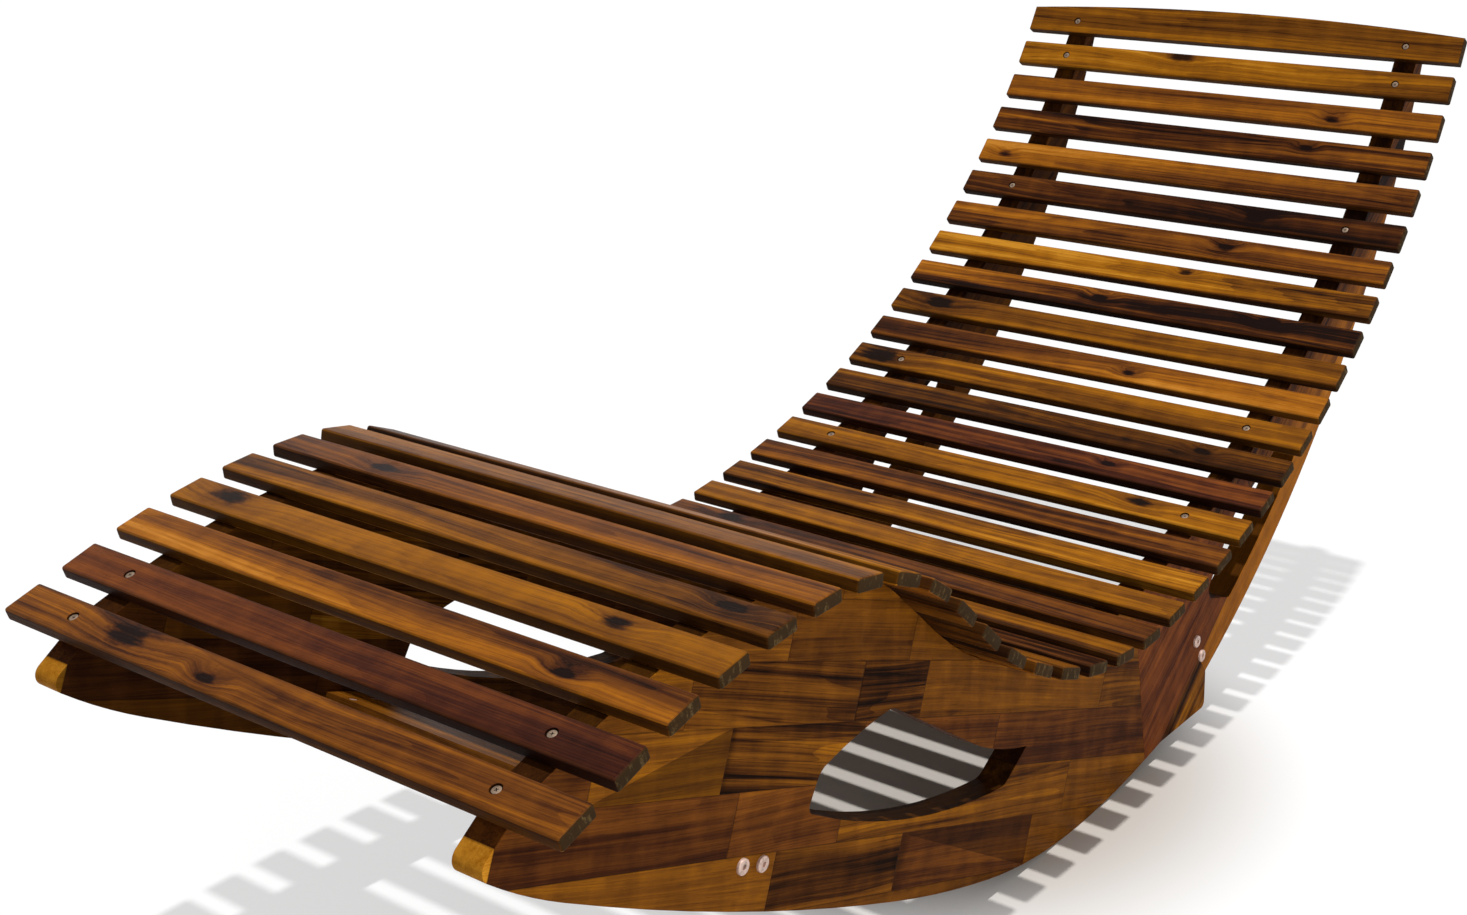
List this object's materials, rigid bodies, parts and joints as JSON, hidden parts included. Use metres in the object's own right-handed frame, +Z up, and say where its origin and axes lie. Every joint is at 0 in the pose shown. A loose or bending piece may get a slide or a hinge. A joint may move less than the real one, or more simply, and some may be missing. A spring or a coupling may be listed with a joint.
{
  "type": "rocking chaise lounge",
  "caption": "Slatted rocking chaise lounge of oiled hardwood with an S-shaped seat on two cut-out rocker boards.",
  "frame": {"origin": "on the floor, below the middle of the lounger's box", "axes": "+X from the foot end to the head end, +Y to the left of a person lying on it face up, +Z up"},
  "size_m": [1.6043, 0.6, 0.6989],
  "materials": {
    "slat_hardwood": "oiled, satin",
    "board_hardwood": "oiled, satin, glued from staves",
    "dowel_beech": "plain",
    "bolt_steel": "zinc plated",
    "screw_steel": "dull zinc plated"
  },
  "bodies": {
    "root": {"back_board_left": "board_hardwood", "back_board_right": "board_hardwood", "barrel_nuts": "bolt_steel", "front_stretcher": "board_hardwood", "head_slat": "slat_hardwood", "joint_dowels": "dowel_beech", "rear_stretcher": "board_hardwood", "rocker_board_left": "board_hardwood", "rocker_board_right": "board_hardwood", "slat_01": "slat_hardwood", "slat_02": "slat_hardwood", "slat_03": "slat_hardwood", "slat_04": "slat_hardwood", "slat_05": "slat_hardwood", "slat_06": "slat_hardwood", "slat_07": "slat_hardwood", "slat_08": "slat_hardwood", "slat_09": "slat_hardwood", "slat_10": "slat_hardwood", "slat_11": "slat_hardwood", "slat_12": "slat_hardwood", "slat_13": "slat_hardwood", "slat_14": "slat_hardwood", "slat_15": "slat_hardwood", "slat_16": "slat_hardwood", "slat_17": "slat_hardwood", "slat_18": "slat_hardwood", "slat_19": "slat_hardwood", "slat_20": "slat_hardwood", "slat_21": "slat_hardwood", "slat_22": "slat_hardwood", "slat_23": "slat_hardwood", "slat_24": "slat_hardwood", "slat_25": "slat_hardwood", "slat_26": "slat_hardwood", "slat_27": "slat_hardwood", "slat_28": "slat_hardwood", "slat_29": "slat_hardwood", "slat_30": "slat_hardwood", "slat_31": "slat_hardwood", "slat_32": "slat_hardwood", "slat_33": "slat_hardwood", "slat_34": "slat_hardwood", "slat_screws": "screw_steel", "stretcher_bolts": "bolt_steel"}
  },
  "joints": []
}
